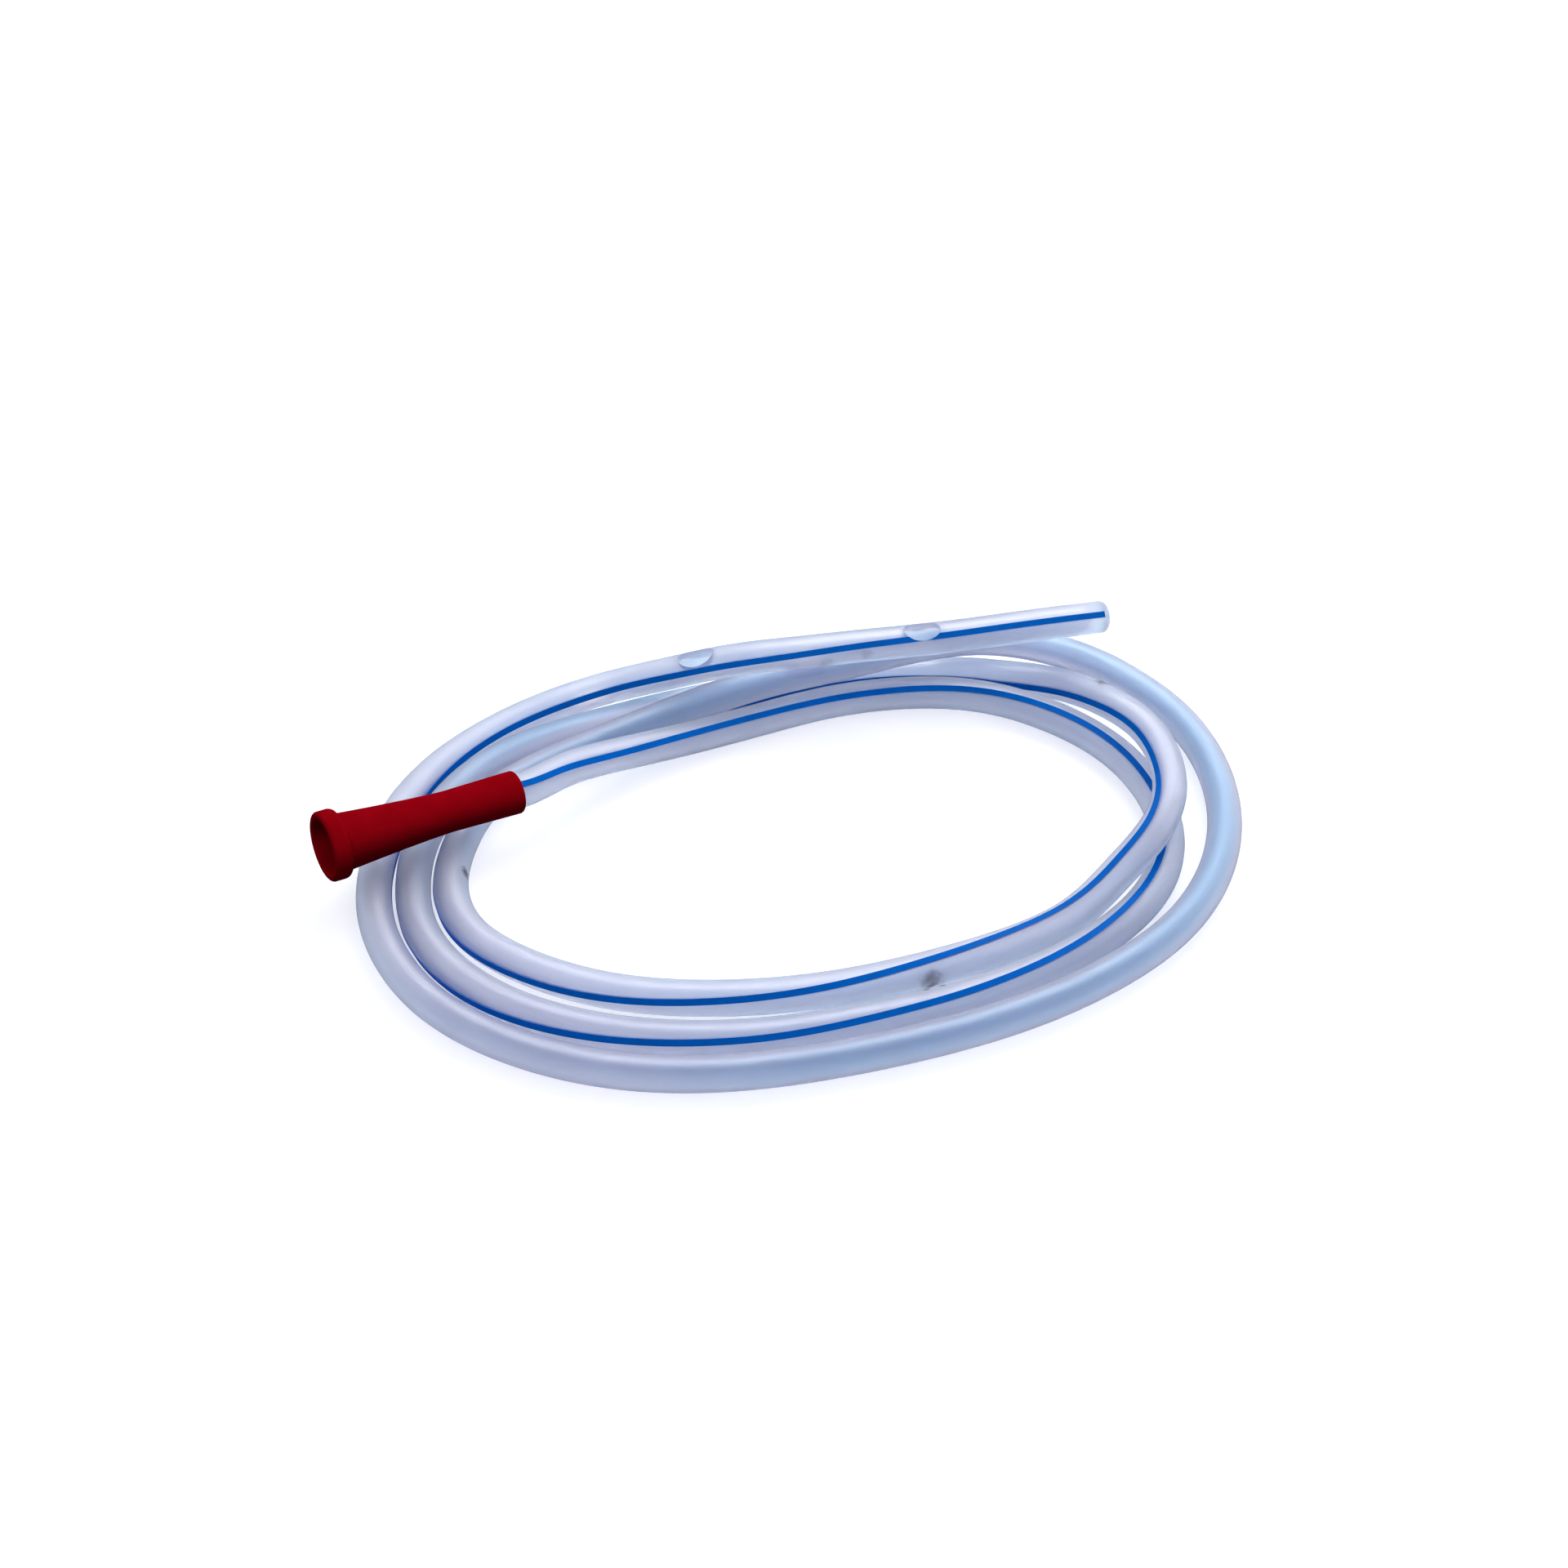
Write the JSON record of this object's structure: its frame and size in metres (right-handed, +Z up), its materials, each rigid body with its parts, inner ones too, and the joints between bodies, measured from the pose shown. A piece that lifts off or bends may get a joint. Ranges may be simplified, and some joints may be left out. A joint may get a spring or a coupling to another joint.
{
  "type": "nasogastric tube",
  "caption": "Frosted flexible feeding and drainage tube in a loose oval coil, with a blue X-ray line, a closed tip with side eyes and a red flared funnel connector.",
  "frame": {"origin": "on the surface that the coil lies on, under the middle of the whole object's bounding box", "axes": "+Z up, square to the surface that the coil lies on; +X along the coil's long side, from the funnel's mouth towards the tip's end; +Y across the coil, towards the side where the funnel and the tip lie"},
  "size_m": [0.1584, 0.1198, 0.0186],
  "materials": {
    "frosted_pvc": "frosted translucent soft PVC",
    "radiopaque_blue": "opaque blue line extruded in the wall",
    "red_pvc": "moulded soft PVC, satin"
  },
  "bodies": {
    "root": {"tube": "frosted_pvc", "xray_line": "radiopaque_blue", "funnel_connector": "red_pvc"}
  },
  "joints": []
}
